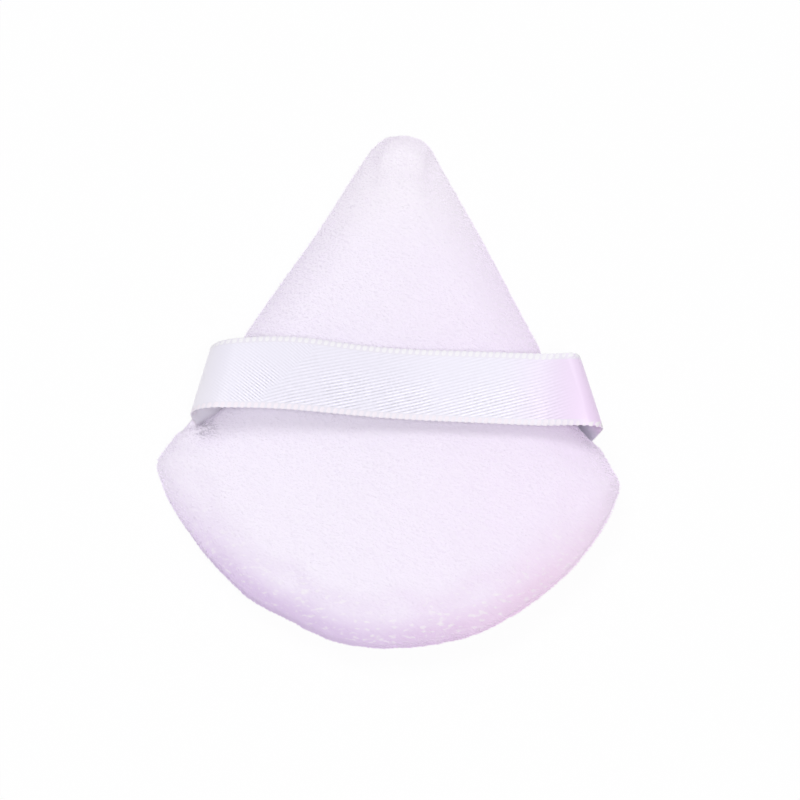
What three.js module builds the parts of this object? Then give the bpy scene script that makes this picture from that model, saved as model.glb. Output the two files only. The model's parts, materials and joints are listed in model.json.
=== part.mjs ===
// A triangular velour powder puff with a satin ribbon that the fingers slip under.
// Millimetres, +Z up. The puff lies on its working face with the ribbon on top and its apex towards +Y.
// The origin is on the rest face, under the middle of the puff's length and width.

import * as THREE from "three";

// Plan of the pad
const PAD_LENGTH = 83; // apex to base
const PAD_WIDTH = 72; // corner to corner
const APEX_RADIUS = 6;
const CORNER_RADIUS = 4;
const CORNER_RISE = 26.5; // from the foot of the base to the middle of a corner's arc

// Section of the pad
const EDGE_HEIGHT = 12; // of the rolled edge, from the rest face to the back
const EDGE_ROLL = 6; // how far in from the edge the roll reaches
const BACK_CROWN = 0.5; // rise of the back towards its middle
const COVER_THICKNESS = 0.9; // velour with its ground cloth
const SEAM_ALLOWANCE = 5; // cloth turned in along the seam

// Sewing
const THREAD_DIAMETER = 0.4;
const STITCH_INSET = 2.5; // from the edge to the row of stitches
const TURNING_GAP = 34; // left open at the base to turn the cover and put the sponge in
const CLOSING_STITCH = 3; // length of one hand stitch over the turning gap
const CLOSING_SWAY = 0.6; // from side to side of the hand stitches

// Ribbon
const RIBBON_WIDTH = 11;
const RIBBON_THICKNESS = 0.4;
const RIBBON_PLACE = -2.5; // y of the middle of the ribbon
const FINGER_GAP = 4.6; // between the back's crown and the ribbon
const APEX_SIDE_BULGE = 3.4; // how far the loop swings out at the edge of the ribbon that faces the apex
const BASE_SIDE_BULGE = 1.35; // the same at the edge that faces the base
const LOOP_INSET = 3.2; // how far in from its root a loop ends

// Clearance between neighbouring pieces
const FIT = 0.3;

// Steps of the faceted curves
const APEX_STEPS = 4; // over half of the apex
const SIDE_STEPS = 4;
const CORNER_STEPS = 5;
const BASE_STEPS = 8; // over half of the base
const ROLL_STEPS = 6; // from the seam to the back or the face
const TOP_RINGS = 3; // from the roll to the middle
const LOOP_STEPS = 10;
const THREAD_SIDES = 6;
const SEAM_THREAD_STEPS = 80;
const STEPS_PER_HAND_STITCH = 4;

// Values worked out from the driving dimensions
const seamHeight = EDGE_HEIGHT / 2;
const halfSeamGap = RIBBON_THICKNESS / 2 + FIT;
const threadRise = halfSeamGap + COVER_THICKNESS + FIT + THREAD_DIAMETER / 2;
const grooveRise = threadRise + THREAD_DIAMETER / 2 + FIT;
const spanBottom = EDGE_HEIGHT + BACK_CROWN + FINGER_GAP;
const baseY = -PAD_LENGTH / 2;
const apexCentre = new THREE.Vector2(0, PAD_LENGTH / 2 - APEX_RADIUS);
const cornerCentre = new THREE.Vector2(PAD_WIDTH / 2 - CORNER_RADIUS, baseY + CORNER_RISE);
const baseRadius =
  (cornerCentre.x ** 2 + CORNER_RISE ** 2 - CORNER_RADIUS ** 2) / (2 * (CORNER_RISE - CORNER_RADIUS));
const baseCentre = new THREE.Vector2(0, baseY + baseRadius);

// The straight sides touch the apex's arc and the corners' arcs, and face this way from the +X axis.
const apexToCorner = cornerCentre.clone().sub(apexCentre);
const sideAngle =
  Math.atan2(apexToCorner.y, apexToCorner.x) +
  Math.acos((APEX_RADIUS - CORNER_RADIUS) / apexToCorner.length());
const sideDistance = apexCentre.y * Math.sin(sideAngle) + APEX_RADIUS;
const cornerToBase = cornerCentre.clone().sub(baseCentre).angle() - 2 * Math.PI;

// The hub is as far from the sides as from the base. Rings of the pad shrink towards it.
const hub = new THREE.Vector2(0, (sideDistance + baseY) / (1 + Math.sin(sideAngle)));

// x of the right-hand edge of the pad, on its straight side
const sideEdge = (y) => (sideDistance - y * Math.sin(sideAngle)) / Math.cos(sideAngle);

// One point of the outline: its place, and its distance from the hub along the outward normal.
function station(centre, radius, angle) {
  const normal = new THREE.Vector2(Math.cos(angle), Math.sin(angle));
  const place = normal.clone().multiplyScalar(radius).add(centre);
  return { place, reach: place.clone().sub(hub).dot(normal) };
}

function arc(centre, radius, from, to, steps) {
  return Array.from({ length: steps + 1 }, (_, i) =>
    station(centre, radius, THREE.MathUtils.lerp(from, to, i / steps)),
  );
}

function between(a, b, steps) {
  return Array.from({ length: steps - 1 }, (_, i) => ({
    place: a.place.clone().lerp(b.place, (i + 1) / steps),
    reach: THREE.MathUtils.lerp(a.reach, b.reach, (i + 1) / steps),
  }));
}

// The right half of the outline, from the apex to a point that lies baseGap from the middle of the base.
function rightHalf(baseGap) {
  const apex = arc(apexCentre, APEX_RADIUS, Math.PI / 2, sideAngle, APEX_STEPS);
  const corner = arc(cornerCentre, CORNER_RADIUS, sideAngle, cornerToBase, CORNER_STEPS);
  const baseEnd = -Math.PI / 2 + baseGap / baseRadius;
  const base = arc(baseCentre, baseRadius, cornerToBase, baseEnd, BASE_STEPS);
  return [...apex, ...between(apex.at(-1), corner[0], SIDE_STEPS), ...corner, ...base.slice(1)];
}

const mirrored = ({ place, reach }) => ({ place: new THREE.Vector2(-place.x, place.y), reach });

// The whole outline, clockwise seen from above, with no point twice.
function outline() {
  const right = rightHalf(0);
  return [...right, ...right.slice(1, -1).reverse().map(mirrored)];
}

// A point at a distance in from the outline, then drawn towards the hub by a share of what is left.
function inward({ place, reach }, inset, share) {
  return place.clone().sub(hub).multiplyScalar((1 - inset / reach) * share).add(hub);
}

// Half of a skin that lies under the pad's surface by inset, from where it leaves the seam to the middle.
// rise is the height over the seam where it starts, and side is 1 for the back and -1 for the face.
function skin(inset, rise, crown, side) {
  const reach = EDGE_ROLL - inset;
  const height = EDGE_HEIGHT / 2 - inset;
  const start = Math.asin(rise / height);
  const roll = Array.from({ length: ROLL_STEPS + 1 }, (_, i) => {
    const turn = THREE.MathUtils.lerp(start, Math.PI / 2, i / ROLL_STEPS);
    const z = seamHeight + side * height * Math.sin(turn);
    return { inset: EDGE_ROLL - reach * Math.cos(turn), share: 1, z };
  });
  const top = Array.from({ length: TOP_RINGS }, (_, i) => {
    const share = 1 - (i + 1) / TOP_RINGS;
    return { inset: EDGE_ROLL, share, z: seamHeight + side * (height + crown * (1 - share ** 2)) };
  });
  return [...roll, ...top];
}

// A closed body swept round the outline. The profile runs from a point over the hub to a point under it.
function sweep(profile) {
  const stations = outline();
  const rings = profile.slice(1, -1);
  const positions = [];
  for (const { inset, share, z } of rings) {
    for (const s of stations) {
      const p = inward(s, inset, share);
      positions.push(p.x, p.y, z);
    }
  }
  const count = stations.length;
  const firstPole = positions.length / 3;
  const lastPole = firstPole + 1;
  positions.push(hub.x, hub.y, profile[0].z, hub.x, hub.y, profile.at(-1).z);
  const faces = [];
  for (let i = 0; i < count; i++) {
    const next = (i + 1) % count;
    faces.push(firstPole, next, i);
    for (let r = 0; r + 1 < rings.length; r++) {
      const upper = r * count;
      const lower = upper + count;
      faces.push(upper + i, upper + next, lower + i, upper + next, lower + next, lower + i);
    }
    const last = (rings.length - 1) * count;
    faces.push(last + i, last + next, lastPole);
  }
  const geometry = new THREE.BufferGeometry();
  geometry.setAttribute("position", new THREE.Float32BufferAttribute(positions, 3));
  geometry.setIndex(faces);
  geometry.computeVertexNormals();
  return geometry;
}

// A velour panel: its outer and inner skins, and the allowance turned in between them at the seam.
function coverProfile(crown, side) {
  const lower = seamHeight + side * halfSeamGap;
  const upper = lower + side * COVER_THICKNESS;
  const allowance = [
    { inset: SEAM_ALLOWANCE, share: 1, z: lower },
    { inset: SEAM_ALLOWANCE, share: 1, z: upper },
  ];
  const outer = skin(0, halfSeamGap, crown, side);
  const inner = skin(COVER_THICKNESS, halfSeamGap + COVER_THICKNESS, crown, side);
  return [...outer.reverse(), ...allowance, ...inner];
}

const backCover = () => sweep(coverProfile(BACK_CROWN, 1));
const faceCover = () => sweep(coverProfile(0, -1).reverse());

// The sponge fills the covers and is pressed into a groove all round by the allowances and their stitches.
function spongeCore() {
  const inset = COVER_THICKNESS + FIT;
  const top = skin(inset, grooveRise, BACK_CROWN, 1);
  const bottom = skin(inset, grooveRise, 0, -1);
  const groove = [1, -1].map((side) => ({
    inset: SEAM_ALLOWANCE + FIT,
    share: 1,
    z: seamHeight + side * grooveRise,
  }));
  return sweep([...top.reverse(), ...groove, ...bottom]);
}

function thread(points, steps) {
  const section = new THREE.Shape();
  section.absarc(0, 0, THREAD_DIAMETER / 2, 0, 2 * Math.PI);
  const extrudePath = new THREE.CatmullRomCurve3(points);
  return new THREE.ExtrudeGeometry(section, { steps, curveSegments: THREAD_SIDES / 2, extrudePath });
}

// One thread of the machine seam, on the inner side of an allowance, from end to end of the turning gap.
function seamThread(side) {
  const right = rightHalf(TURNING_GAP / 2);
  const route = [...right.slice(1).reverse(), ...right.map(mirrored)];
  const z = seamHeight + side * threadRise;
  const points = route.map((s) => {
    const p = inward(s, STITCH_INSET, 1);
    return new THREE.Vector3(p.x, p.y, z);
  });
  return thread(points, SEAM_THREAD_STEPS);
}

// The hand stitches that draw the two covers together over the turning gap.
function closingThread() {
  const stitches = Math.round(TURNING_GAP / CLOSING_STITCH);
  const points = Array.from({ length: stitches + 1 }, (_, i) => {
    const along = THREE.MathUtils.lerp(-TURNING_GAP / 2, TURNING_GAP / 2, i / stitches);
    const s = station(baseCentre, baseRadius, -Math.PI / 2 + along / baseRadius);
    const sway = i % 2 ? CLOSING_SWAY : -CLOSING_SWAY;
    const p = inward(s, STITCH_INSET + sway, 1);
    return new THREE.Vector3(p.x, p.y, seamHeight);
  });
  return thread(points, stitches * STEPS_PER_HAND_STITCH);
}

const ribbonEdges = [
  { y: RIBBON_PLACE - RIBBON_WIDTH / 2, bulge: BASE_SIDE_BULGE },
  { y: RIBBON_PLACE + RIBBON_WIDTH / 2, bulge: APEX_SIDE_BULGE },
];

// A flat stretch of ribbon whose ends keep to the slant of the pad's sides.
function flatRibbon(corners, bottom) {
  const plan = new THREE.Shape(corners);
  const geometry = new THREE.ExtrudeGeometry(plan, { depth: RIBBON_THICKNESS, bevelEnabled: false });
  return geometry.translate(0, 0, bottom);
}

// The right-hand end of the ribbon, sewn in between the allowances.
function ribbonTail() {
  const [base, apex] = ribbonEdges;
  const length = SEAM_ALLOWANCE / Math.cos(sideAngle);
  const corners = [
    new THREE.Vector2(sideEdge(base.y) - length, base.y),
    new THREE.Vector2(sideEdge(base.y), base.y),
    new THREE.Vector2(sideEdge(apex.y), apex.y),
    new THREE.Vector2(sideEdge(apex.y) - length, apex.y),
  ];
  return flatRibbon(corners, seamHeight - RIBBON_THICKNESS / 2);
}

// The stretch over the back, between the two loops.
function ribbonSpan() {
  const [base, apex] = ribbonEdges.map(({ y }) => ({ x: sideEdge(y) - LOOP_INSET, y }));
  const corners = [
    new THREE.Vector2(-base.x, base.y),
    new THREE.Vector2(base.x, base.y),
    new THREE.Vector2(apex.x, apex.y),
    new THREE.Vector2(-apex.x, apex.y),
  ];
  return flatRibbon(corners, spanBottom);
}

// The right-hand loop: it leaves the seam outwards, swings up and comes in level with the span.
function ribbonLoop() {
  const height = spanBottom + RIBBON_THICKNESS / 2 - seamHeight;
  const positions = [];
  for (let i = 0; i <= LOOP_STEPS; i++) {
    const turn = THREE.MathUtils.lerp(-Math.PI / 2, Math.PI / 2, i / LOOP_STEPS);
    const climb = (1 + Math.sin(turn)) / 2;
    for (const { y, bulge } of ribbonEdges) {
      const x = sideEdge(y) + FIT - LOOP_INSET * climb + bulge * Math.cos(turn);
      const z = seamHeight + height * climb;
      const tangent = new THREE.Vector2(
        (-LOOP_INSET * Math.cos(turn)) / 2 - bulge * Math.sin(turn),
        (height * Math.cos(turn)) / 2,
      ).setLength(RIBBON_THICKNESS / 2);
      positions.push(x + tangent.y, y, z - tangent.x, x - tangent.y, y, z + tangent.x);
    }
  }
  // The four corners of a section, in order round the ribbon
  const round = [0, 2, 3, 1];
  const faces = [0, 1, 3, 0, 3, 2];
  for (let i = 0; i < LOOP_STEPS; i++) {
    const here = i * round.length;
    const there = here + round.length;
    round.forEach((corner, k) => {
      const next = round[(k + 1) % round.length];
      faces.push(here + corner, here + next, there + corner, here + next, there + next, there + corner);
    });
  }
  const end = LOOP_STEPS * round.length;
  faces.push(end, end + 3, end + 1, end, end + 2, end + 3);
  const geometry = new THREE.BufferGeometry();
  geometry.setAttribute("position", new THREE.Float32BufferAttribute(positions, 3));
  geometry.setIndex(faces);
  geometry.computeVertexNormals();
  return geometry;
}

// Materials
const velour = new THREE.MeshStandardMaterial({ color: 0xefe6f8, roughness: 1, metalness: 0 });
const satin = new THREE.MeshStandardMaterial({ color: 0xf2eff9, roughness: 0.45, metalness: 0 });
const foam = new THREE.MeshStandardMaterial({ color: 0xf6f1e6, roughness: 1, metalness: 0 });
const sewing = new THREE.MeshStandardMaterial({ color: 0xe9e0f2, roughness: 0.7, metalness: 0 });

function piece(name, geometry, material) {
  const mesh = new THREE.Mesh(geometry, material);
  mesh.name = name;
  return mesh;
}

// The left-hand copy of a piece that is drawn on the right
function leftHand(mesh) {
  mesh.scale.x = -1;
  return mesh;
}

const pad = new THREE.Group();
pad.add(piece("back_cover", backCover(), velour));
pad.add(piece("face_cover", faceCover(), velour));
pad.add(piece("sponge_core", spongeCore(), foam));
pad.add(piece("seam_needle_thread", seamThread(1), sewing));
pad.add(piece("seam_bobbin_thread", seamThread(-1), sewing));
pad.add(piece("closing_thread", closingThread(), sewing));

const ribbon = new THREE.Group();
ribbon.add(piece("right_ribbon_tail", ribbonTail(), satin));
ribbon.add(leftHand(piece("left_ribbon_tail", ribbonTail(), satin)));
ribbon.add(piece("right_ribbon_loop", ribbonLoop(), satin));
ribbon.add(leftHand(piece("left_ribbon_loop", ribbonLoop(), satin)));
ribbon.add(piece("ribbon_span", ribbonSpan(), satin));

const puff = new THREE.Group();
puff.add(pad, ribbon);

export default puff;
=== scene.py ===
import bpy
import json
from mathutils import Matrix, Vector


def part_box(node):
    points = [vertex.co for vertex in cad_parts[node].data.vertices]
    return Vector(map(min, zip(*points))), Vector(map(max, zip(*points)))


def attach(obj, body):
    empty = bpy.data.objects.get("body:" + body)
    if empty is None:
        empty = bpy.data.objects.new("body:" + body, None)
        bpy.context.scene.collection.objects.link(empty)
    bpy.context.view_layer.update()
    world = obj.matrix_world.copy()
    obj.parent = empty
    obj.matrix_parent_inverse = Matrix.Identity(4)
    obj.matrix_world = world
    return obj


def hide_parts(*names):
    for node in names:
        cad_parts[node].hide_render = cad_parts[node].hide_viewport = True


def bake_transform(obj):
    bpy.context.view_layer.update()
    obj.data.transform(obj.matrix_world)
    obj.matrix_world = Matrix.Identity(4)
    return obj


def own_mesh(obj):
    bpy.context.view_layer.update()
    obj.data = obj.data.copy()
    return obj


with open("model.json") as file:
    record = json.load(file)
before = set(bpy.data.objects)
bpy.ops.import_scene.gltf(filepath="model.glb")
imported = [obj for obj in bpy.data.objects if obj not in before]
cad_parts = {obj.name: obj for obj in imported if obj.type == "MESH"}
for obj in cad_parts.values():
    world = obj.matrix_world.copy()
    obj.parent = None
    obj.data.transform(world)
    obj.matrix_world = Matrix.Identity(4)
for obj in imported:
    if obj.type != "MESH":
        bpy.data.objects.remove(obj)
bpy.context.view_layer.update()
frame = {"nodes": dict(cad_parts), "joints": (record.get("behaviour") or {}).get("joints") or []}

import json
import math

import bmesh
import bpy
import numpy as np
from bpy.props import FloatProperty, FloatVectorProperty, IntProperty, PointerProperty
from bpy.types import Operator, Panel, PropertyGroup
from mathutils import Color, Matrix, Vector, noise

bl_info = {
    "name": "Powder puff",
    "version": (1, 0, 0),
    "blender": (4, 5, 0),
    "location": "View3D > Sidebar > Powder puff",
    "description": "Dresses a triangular velour powder puff: pile, seam, sponge and satin finger ribbon",
    "category": "Add Mesh",
}

# Metres, +Z up. The puff lies on its working face with the ribbon on top and its apex towards +Y.
MM = 0.001

# Sizes that the frame fixes
FACE_LOW, FACE_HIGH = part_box("face_cover")
BACK_LOW, BACK_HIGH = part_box("back_cover")
SPONGE_LOW, SPONGE_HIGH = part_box("sponge_core")
SPAN_LOW, SPAN_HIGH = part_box("ribbon_span")
NEEDLE_LOW, NEEDLE_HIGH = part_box("seam_needle_thread")
BOBBIN_LOW, BOBBIN_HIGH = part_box("seam_bobbin_thread")
HALF_WIDTH = (FACE_HIGH.x - FACE_LOW.x) / 2
HALF_LENGTH = (FACE_HIGH.y - FACE_LOW.y) / 2
SEAM_Z = (FACE_HIGH.z + BACK_LOW.z) / 2
BACK_CROWN = BACK_HIGH.z - 2 * SEAM_Z
RIBBON_WIDTH = SPAN_HIGH.y - SPAN_LOW.y
RIBBON_Y = (SPAN_HIGH.y + SPAN_LOW.y) / 2
SPAN_Z = (SPAN_HIGH.z + SPAN_LOW.z) / 2
PRESS_TRAVEL = next(j for j in frame["joints"] if j["name"] == "face_press")["range_m"][1]

# The two covers: which way they face, their word in names, and their body
COVERS = ((1, "back", "pad"), (-1, "face", "face"))


def ink(red, green, blue):
    """A colour given in screen values, as the linear colour that Blender keeps."""
    shares = (red / 255, green / 255, blue / 255)
    return tuple(c / 12.92 if c <= 0.04045 else ((c + 0.055) / 1.055) ** 2.4 for c in shares)


def number_of(name, description, default, **kind):
    return FloatProperty(name=name, description=description, default=default, **kind)


def length_of(name, description, millimetres):
    return number_of(name, description, millimetres * MM, unit="LENGTH", precision=5)


def angle_of(name, description, degrees):
    return number_of(name, description, math.radians(degrees), subtype="ANGLE")


def share_of(name, description, default):
    return number_of(name, description, default, subtype="FACTOR")


def power_of(name, description, watts):
    return number_of(name, description, watts, unit="POWER")


def count_of(name, description, default):
    return IntProperty(name=name, description=description, default=default, min=0)


def vector_of(name, description, default, **kind):
    return FloatVectorProperty(name=name, description=description, default=default, size=3, **kind)


def colour_of(name, description, *screen):
    return vector_of(name, description, ink(*screen), subtype="COLOR", min=0, max=1)


def place_of(name, description, *metres):
    return vector_of(name, description, metres, subtype="TRANSLATION")


class PuffPadSizes(PropertyGroup):
    """Sizes of the velour pad that the frame's boxes don't give."""

    apex_radius: length_of("Apex radius", "Round of the tip", 6)
    corner_radius: length_of("Corner radius", "Round of the two side corners", 4)
    corner_rise: length_of("Corner rise", "From the foot of the base to the middle of a corner's round", 26.5)
    edge_roll: length_of("Edge roll", "How far in from the edge the roll reaches", 6)
    ground_depth: length_of("Ground depth", "How deep the ground cloth lies under the tips of the pile", 0.3)
    cloth_thickness: length_of("Cloth thickness", "Ground cloth of the velour", 0.45)
    voxel: length_of("Voxel", "Cell of the remesh that the cloth simulation starts from", 1.25)
    swell: length_of("Swell", "The most that the filling pushes the cover out", 0.7)
    seam_depth: length_of("Seam depth", "How deep the seam draws the edge in", 1.0)
    seam_reach: length_of("Seam reach", "How far from the seam the edge is drawn in", 1.9)
    seam_pucker: share_of("Seam pucker", "Share by which the seam's depth changes along the edge", 0.3)
    seam_allowance: length_of("Seam allowance", "Cloth turned in along the seam", 4.5)
    ribbon_slit: length_of("Ribbon slit", "Half of the gap in the seam where the ribbon comes out", 0.3)
    fullness: share_of("Fullness", "Power that fills the shoulders out. A smaller one fills them more", 0.84)
    left_pinch: length_of("Left pinch", "How far the middle of the ribbon's left root draws the edge in", 6.4)
    left_base_pinch: length_of("Left base pinch", "The same at the base end of the left root", 3.2)
    left_apex_pinch: length_of("Left apex pinch", "The same at the apex end of the left root", 0.8)
    right_pinch: length_of("Right pinch", "How far the middle of the right root draws the edge in", 2.0)
    right_edge_pinch: length_of("Right edge pinch", "The same at the two ends of the right root", 1.2)
    pinch_height: length_of("Pinch height", "How far over the seam a pinch reaches", 9)
    pinch_drop: length_of("Pinch drop", "How far under the seam a pinch reaches", 1.5)
    pinch_length: length_of("Pinch length", "How far past the ribbon's edges a pinch reaches", 2)
    dent_depth: length_of("Dent depth", "Depth of the dent in the back, near the apex", 0.5)
    dent_place: length_of("Dent place", "From the apex to the dent", 7.2)
    dent_reach: length_of("Dent reach", "Half width of the dent", 2.4)
    ripple: length_of("Ripple", "Height of the gentle unevenness of the back", 0.12)
    fray_reach: length_of("Fray reach", "How far round the roots' base ends the pile is loose", 1.7)
    core_play: length_of("Core play", "How much smaller the foam core is than the frame's", 1.5)
    groove_play: length_of("Groove play", "Room over the threads in the foam core's groove", 0.3)
    stitch_inset: length_of("Stitch inset", "From the edge to the row of stitches", 2.5)
    stitch_length: length_of("Stitch length", "Length of one machine stitch", 2.5)
    turning_gap: length_of("Turning gap", "Left out of the machine seam, in the middle of the base", 34)
    ply_twist: length_of("Ply twist", "Length over which the thread's plies turn once", 1.4)


class PuffPileSizes(PropertyGroup):
    """Sizes of the velour's raised pile."""

    fibres: count_of("Fibres", "Tufts on each cover", 48000)
    length: length_of("Length", "Longest tuft", 0.55)
    radius: length_of("Radius", "Thickness of a tuft at its foot", 0.06)
    loose: share_of("Loose", "How much longer than the rest the loose tufts at the ribbon's roots are", 1.6)
    lean: share_of("Lean", "How far the pile lies over, as a share of standing upright", 2.4)
    turn: share_of("Turn", "How far the nap turns to the base, as a share of its lean to the right", 0.35)
    scatter: share_of("Scatter", "How unevenly neighbouring tufts lie", 0.3)
    drift: share_of("Drift", "How much the way of the nap changes over the cover", 0.3)
    drift_length: length_of("Drift length", "Distance over which the way of the nap changes", 14)
    seed: count_of("Seed", "Start of the random placing", 7)


class PuffRibbonSizes(PropertyGroup):
    """Sizes of the satin ribbon that the frame's boxes don't give."""

    thickness: length_of("Thickness", "Thickness of the satin", 0.3)
    root_depth: length_of("Root depth", "How far inside the seam the ribbon starts", 1.4)
    root_bend: length_of("Root bend", "Radius of the ribbon's turn out of the seam", 0.3)
    left_bend: length_of("Left bend", "Radius of the ribbon's turn over its left leg", 4.5)
    right_bend: length_of("Right bend", "Radius of the ribbon's turn over its right leg", 2.2)
    left_base_reach: length_of("Left base reach", "From the edge to the left fold, at the base side", -1.8)
    left_apex_reach: length_of("Left apex reach", "The same at the apex side", 2.3)
    right_base_reach: length_of("Right base reach", "From the edge to the right fold, at the base side", 0)
    right_apex_reach: length_of("Right apex reach", "The same at the apex side", 2.5)
    left_root_shift: length_of("Left root shift", "How far to the base the left root lies from its fold", 0.8)
    right_root_shift: length_of("Right root shift", "The same at the right root", 0)
    tail_length: length_of("Tail length", "From the pad's edge to the ribbon's end inside the seam", 5)
    twist: length_of("Twist", "Rise of the ribbon's edges against each other at its two ends", 0.8)
    span_rise: length_of("Span rise", "How far the ribbon rises near its left end", 0.6)
    span_dip: length_of("Span dip", "How far the ribbon dips over the middle", 1.6)
    span_bow: length_of("Span bow", "How far the ribbon bows to the apex, left of the middle", 1.0)
    grid: length_of("Grid", "Step of the ribbon's mesh", 0.4)
    twill_pitch: length_of("Twill pitch", "From one diagonal line of the satin to the next", 0.52)
    loop_pitch: length_of("Loop pitch", "From one weft loop of the selvedge to the next", 1.0)
    loop_length: length_of("Loop length", "Length of a weft loop, across the ribbon", 1.5)
    loop_width: length_of("Loop width", "Width of a weft loop, along the ribbon", 1.1)
    loop_height: length_of("Loop height", "Thickness of a weft loop", 0.29)
    loop_slant: angle_of("Loop slant", "How far a weft loop turns from straight across the ribbon", -28)
    selvedge_inset: length_of("Selvedge inset", "From the ribbon's edge to the middle of a weft loop", 0.6)


class PuffColours(PropertyGroup):
    """Colours of the puff's materials."""

    velour: colour_of("Velour", "Pile on the flat of the pad", 250, 244, 255)
    # Painted shade and light: the rim colours mix the pile's own mauve with painted shade of the rolled edge,
    # the right-hand one painted lighter
    velour_rim_and_shade: colour_of("Velour rim", "Pile where it opens round the base, on the left", 236, 218, 246)
    velour_rim_and_light_right: colour_of("Velour rim right", "The same on the right", 254, 231, 251)
    velour_blush: colour_of("Velour blush", "Pile towards the right-hand side", 250, 240, 255)
    # Painted light: lighter pile towards the apex and painted glints of pile clumps round the base
    velour_highlight: colour_of("Velour tip", "Pile at the apex and in bright clumps round the base", 255, 252, 255)
    # Painted shade: the loose pile at the ribbon's roots is darker for the shade in the parted pile
    loose_tuft_shade: colour_of("Loose tuft", "Loose pile at the ribbon's roots", 226, 220, 232)
    satin: colour_of("Satin", "Ribbon", 244, 241, 254)
    # Painted sheen and shade: the bends' lavender and pink stand in for the light that the bent satin catches
    satin_left_bend_sheen: colour_of("Satin left", "Ribbon where it bends over at its left end", 250, 246, 255)
    satin_right_bend_sheen: colour_of("Satin right", "Ribbon where it bends over at its right end", 249, 225, 255)
    selvedge: colour_of("Selvedge", "Weft loops on the apex side", 249, 247, 252)
    selvedge_pink: colour_of("Pink selvedge", "Weft loops on the base side", 250, 242, 251)
    # Painted shade between the weft loops
    selvedge_gap_shade: colour_of("Selvedge gap", "Between the weft loops", 242, 238, 249)
    thread: colour_of("Thread", "Sewing thread", 233, 224, 242)
    sponge: colour_of("Sponge", "Foam core", 245, 242, 238)
    floor: colour_of("Floor", "Floor and backdrop", 250, 250, 251)


class PuffStage(PropertyGroup):
    """Camera, lamps and floor."""

    elevation: angle_of("Elevation", "Height of the camera over the floor", 75.42)
    roll: angle_of("Roll", "Turn of the camera", 2.23)
    distance: length_of("Distance", "From the camera to the middle of the pad", 380)
    lens: number_of("Lens", "Focal length in millimetres", 108.5, unit="CAMERA")
    shift_x: share_of("Shift X", "Sideways shift of the lens", 0.0095)
    shift_y: share_of("Shift Y", "Upward shift of the lens", -0.0199)
    sky: share_of("Sky", "Strength of the even light", 0.45)
    key: power_of("Key", "Power of the soft lamp at the apex side", 1.75)
    key_place: place_of("Key place", "Where that lamp stands", -0.20, 0.25, 0.82)
    key_width: length_of("Key width", "Width of that lamp", 350)
    fill: power_of("Fill", "Power of the soft lamp at the base side", 2.68)
    fill_place: place_of("Fill place", "Where that lamp stands", 0.06, -0.23, 0.87)
    fill_width: length_of("Fill width", "Width of that lamp", 200)
    floor_size: length_of("Floor size", "Side of the floor", 3000)
    floor_drop: length_of("Floor drop", "How far under the foot of the frame the floor lies", 0.3)
    floor_white: share_of("Floor white", "How far the floor looks white to the camera", 0.93)


class Socket:
    """An output socket, whose operators add Math nodes to its tree."""

    def __init__(self, tree, output):
        self.tree = tree
        self.output = output

    def maths(self, operation, *others):
        return self.tree.maths(operation, self, *others)

    def __add__(self, other):
        return self.maths("ADD", other)

    def __sub__(self, other):
        return self.maths("SUBTRACT", other)

    def __rsub__(self, other):
        return self.tree.maths("SUBTRACT", other, self)

    def __mul__(self, other):
        return self.maths("MULTIPLY", other)

    __radd__ = __add__
    __rmul__ = __mul__


class Outputs:
    """A node's outputs, by name or by number."""

    def __init__(self, tree, node):
        self.tree = tree
        self.node = node

    def __getitem__(self, key):
        return Socket(self.tree, self.node.outputs[key])


class Tree:
    """A node tree that is filled in by short calls."""

    def __init__(self, tree):
        self.tree = tree

    def add(self, kind, values=None, **settings):
        """A new node. Its settings are set first, then its sockets' values or links."""
        node = self.tree.nodes.new(kind)
        for name, value in settings.items():
            setattr(node, name, value)
        for key, value in (values or {}).items():
            if isinstance(value, Socket):
                self.tree.links.new(value.output, node.inputs[key])
            elif isinstance(value, Color):
                node.inputs[key].default_value = (*value, 1.0)
            else:
                node.inputs[key].default_value = value
        return Outputs(self, node)

    def maths(self, operation, *values):
        return self.add("ShaderNodeMath", dict(enumerate(values)), operation=operation)[0]

    def vector(self, operation, *values):
        return self.add("ShaderNodeVectorMath", dict(enumerate(values)), operation=operation)[0]

    def scaled(self, vector, factor):
        return self.add("ShaderNodeVectorMath", {0: vector, "Scale": factor}, operation="SCALE")[0]

    def parts(self, vector):
        """X, Y and Z of a vector."""
        return self.add("ShaderNodeSeparateXYZ", {0: vector})

    def ease(self, value, low, high):
        """0 below low, 1 over high and a smooth step between them. low may be the larger one."""
        values = {"Value": value, "From Min": low, "From Max": high}
        return self.add("ShaderNodeMapRange", values, interpolation_type="SMOOTHSTEP")[0]

    def mix(self, factor, first, second, blend="MIX"):
        values = {0: factor, 6: first, 7: second}
        return self.add("ShaderNodeMix", values, data_type="RGBA", blend_type=blend)[2]

    def noise(self, vector, scale, detail=2.0):
        return self.add("ShaderNodeTexNoise", {"Vector": vector, "Scale": scale, "Detail": detail})["Fac"]

    def seen_by(self, *rays):
        """1 where one of these kinds of ray arrives."""
        path = self.add("ShaderNodeLightPath")
        seen = path[rays[0]]
        for ray in rays[1:]:
            seen = seen.maths("MAXIMUM", path[ray])
        return seen


def emptied(owner):
    """The node tree of a material or a world, with nothing in it."""
    owner.use_nodes = True
    owner.node_tree.nodes.clear()
    return owner.node_tree


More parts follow.
